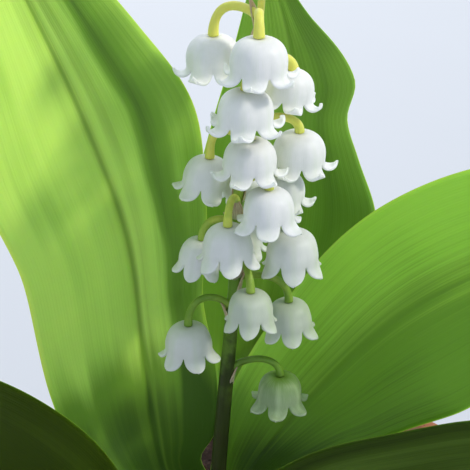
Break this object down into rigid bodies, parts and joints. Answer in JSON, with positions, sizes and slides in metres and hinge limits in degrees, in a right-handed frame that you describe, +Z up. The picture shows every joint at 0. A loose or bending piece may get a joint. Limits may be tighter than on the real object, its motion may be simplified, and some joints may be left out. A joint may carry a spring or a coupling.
{
  "type": "potted flowering plant",
  "caption": "Flowering woodland perennial with broad upright leaves and a stalk of nodding white bell flowers, rooted in soil in a plain round clay pot.",
  "frame": {"origin": "centre of the pot's underside, on the surface that the pot stands on", "axes": "+Z up; -Y towards the side from which the flowering stalk is seen between the left and right leaves"},
  "size_m": [0.1412, 0.132, 0.2473],
  "materials": {
    "leaf": "satin",
    "stalk": "satin",
    "petal": "satin",
    "bud": "satin",
    "sheath": "matte",
    "rootstock": "matte",
    "soil": "matte",
    "pot": "matte"
  },
  "bodies": {
    "root": {"leaf_left": "leaf", "leaf_right": "leaf", "leaf_back": "leaf", "leaf_rear": "leaf", "leaf_low_left": "leaf", "leaf_low_right": "leaf", "flower_stalk": "stalk", "flower_01": "petal", "flower_02": "petal", "flower_03": "petal", "flower_04": "petal", "flower_05": "petal", "flower_06": "petal", "flower_07": "petal", "flower_08": "petal", "flower_09": "petal", "flower_10": "petal", "flower_11": "petal", "flower_12": "petal", "flower_13": "petal", "flower_14": "petal", "flower_15": "petal", "flower_16": "petal", "flower_17": "petal", "flower_18": "petal", "bud_01": "bud", "bud_02": "bud", "bud_03": "bud", "sheath_front": "sheath", "sheath_rear": "sheath", "sheath_side": "sheath", "rootstock": "rootstock", "pot": "pot", "soil": "soil"}
  },
  "joints": []
}
